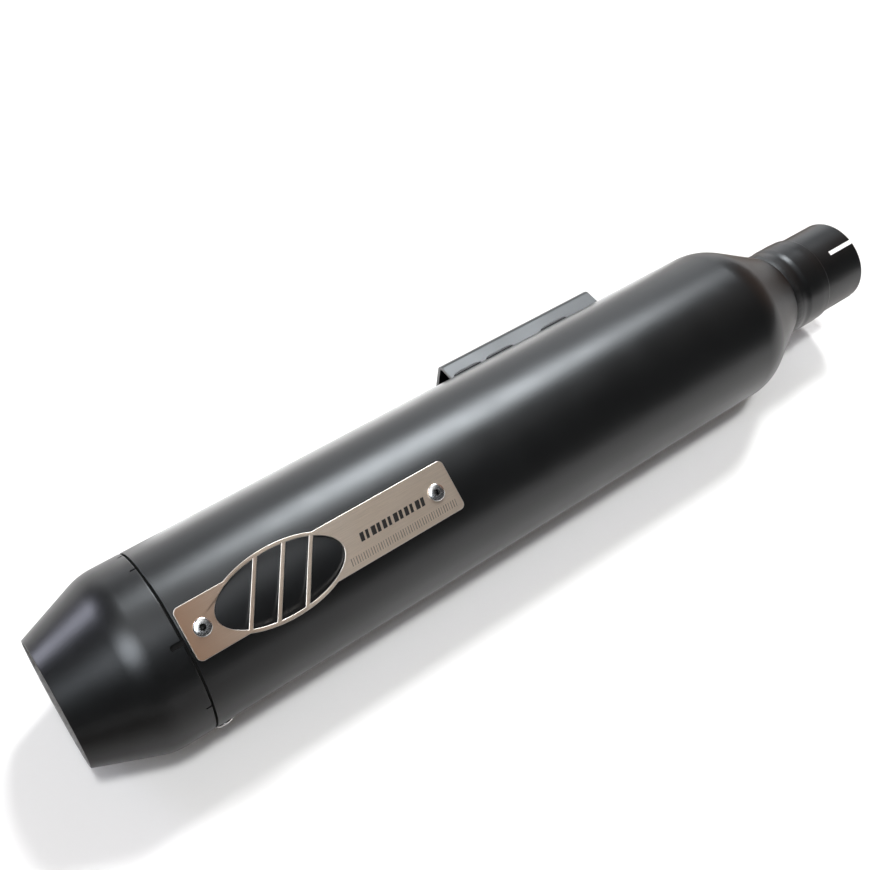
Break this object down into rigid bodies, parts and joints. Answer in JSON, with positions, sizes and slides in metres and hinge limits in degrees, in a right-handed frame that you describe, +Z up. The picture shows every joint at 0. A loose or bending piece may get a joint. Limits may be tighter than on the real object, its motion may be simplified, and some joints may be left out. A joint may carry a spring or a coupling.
{
  "type": "motorcycle exhaust muffler",
  "caption": "Slip-on straight-through motorcycle muffler: round black body, coned end cap, necked slotted inlet, riveted steel nameplate and a folded channel bracket.",
  "frame": {"origin": "centre of the inlet mouth, on the muffler's axis", "axes": "+X along the axis and out of the inlet, so the outlet is at -X; +Y out of the flat face of the mounting bracket; +Z up, so the nameplate is on the upper side away from the bracket"},
  "size_m": [0.564, 0.1067, 0.104],
  "materials": {
    "black_coat": "satin black high-temperature powder coat with a fine grain",
    "nameplate_steel": "brushed lengthwise, bright cut edges",
    "rivet_steel": "bright, tumbled",
    "pipe_steel": "bare drawn tube and pressed sheet, heat tinted",
    "steel_wool": "fine stainless wool",
    "glass_fibre": "long-strand glass fibre blanket"
  },
  "bodies": {
    "root": {"end_cap": "black_coat", "body_shell": "black_coat", "front_cone": "black_coat", "neck_weld": "black_coat", "neck_sleeve": "black_coat", "inlet_tube": "black_coat", "cap_spigot": "pipe_steel", "outlet_tube": "pipe_steel", "rear_bulkhead": "pipe_steel", "front_bulkhead": "pipe_steel", "perforated_core": "pipe_steel", "core_wool": "steel_wool", "packing_blanket": "glass_fibre", "bracket_channel": "black_coat", "bracket_weld_upper_1": "black_coat", "bracket_weld_upper_2": "black_coat", "bracket_weld_upper_3": "black_coat", "bracket_weld_lower_1": "black_coat", "bracket_weld_lower_2": "black_coat", "bracket_weld_lower_3": "black_coat", "nameplate": "nameplate_steel", "nameplate_rivet_rear": "rivet_steel", "nameplate_rivet_rear_mandrel": "rivet_steel", "nameplate_rivet_front": "rivet_steel", "nameplate_rivet_front_mandrel": "rivet_steel", "cap_rivet_lower": "rivet_steel", "cap_rivet_lower_mandrel": "rivet_steel", "cap_rivet_upper": "rivet_steel", "cap_rivet_upper_mandrel": "rivet_steel"}
  },
  "joints": []
}
